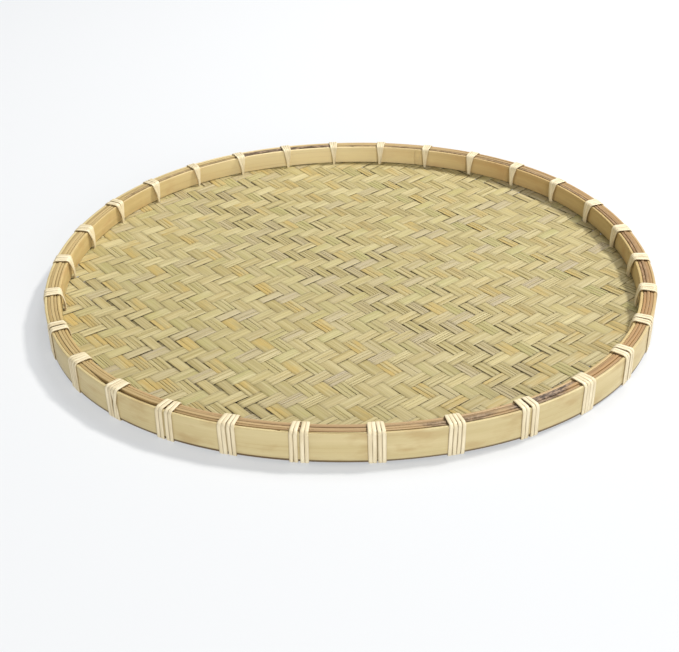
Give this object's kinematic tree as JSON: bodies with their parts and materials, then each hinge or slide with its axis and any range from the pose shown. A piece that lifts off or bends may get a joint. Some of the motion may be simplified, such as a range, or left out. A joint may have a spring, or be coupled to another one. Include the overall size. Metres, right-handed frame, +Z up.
{
  "type": "winnowing basket",
  "caption": "Round, shallow tray of twill-woven bamboo splints, its edge clamped between two bent bamboo hoops that are tied with cane lashings.",
  "frame": {"origin": "centre of the rim, on the surface that the basket stands on", "axes": "+Z up out of the tray; -Y towards the side with the flattest stretch of rim; +X to its right, seen from above"},
  "size_m": [0.4954, 0.4949, 0.0261],
  "materials": {
    "mat_splint": "matt bamboo splints, shaved, streaked straw, green and tan",
    "outer_hoop": "smooth bamboo rind, satin, pale cream-yellow",
    "inner_hoop": "planed bamboo, satin, tan-yellow",
    "filler_splint": "split bamboo, rough, tan with brown streaks and bark",
    "cane": "split cane, satin, cream"
  },
  "bodies": {
    "root": {"woven_mat": "mat_splint", "outer_hoop": "outer_hoop", "inner_hoop": "inner_hoop", "filler_splint_inner": "filler_splint", "filler_splint_middle": "filler_splint", "filler_splint_outer": "filler_splint", "lashing_01": "cane", "lashing_02": "cane", "lashing_03": "cane", "lashing_04": "cane", "lashing_05": "cane", "lashing_06": "cane", "lashing_07": "cane", "lashing_08": "cane", "lashing_09": "cane", "lashing_10": "cane", "lashing_11": "cane", "lashing_12": "cane", "lashing_13": "cane", "lashing_14": "cane", "lashing_15": "cane", "lashing_16": "cane", "lashing_17": "cane", "lashing_18": "cane", "lashing_19": "cane", "lashing_20": "cane", "lashing_21": "cane", "lashing_22": "cane", "lashing_23": "cane", "lashing_24": "cane", "lashing_25": "cane", "lashing_26": "cane", "lashing_27": "cane", "lashing_28": "cane", "lashing_29": "cane", "lashing_30": "cane"}
  },
  "joints": []
}
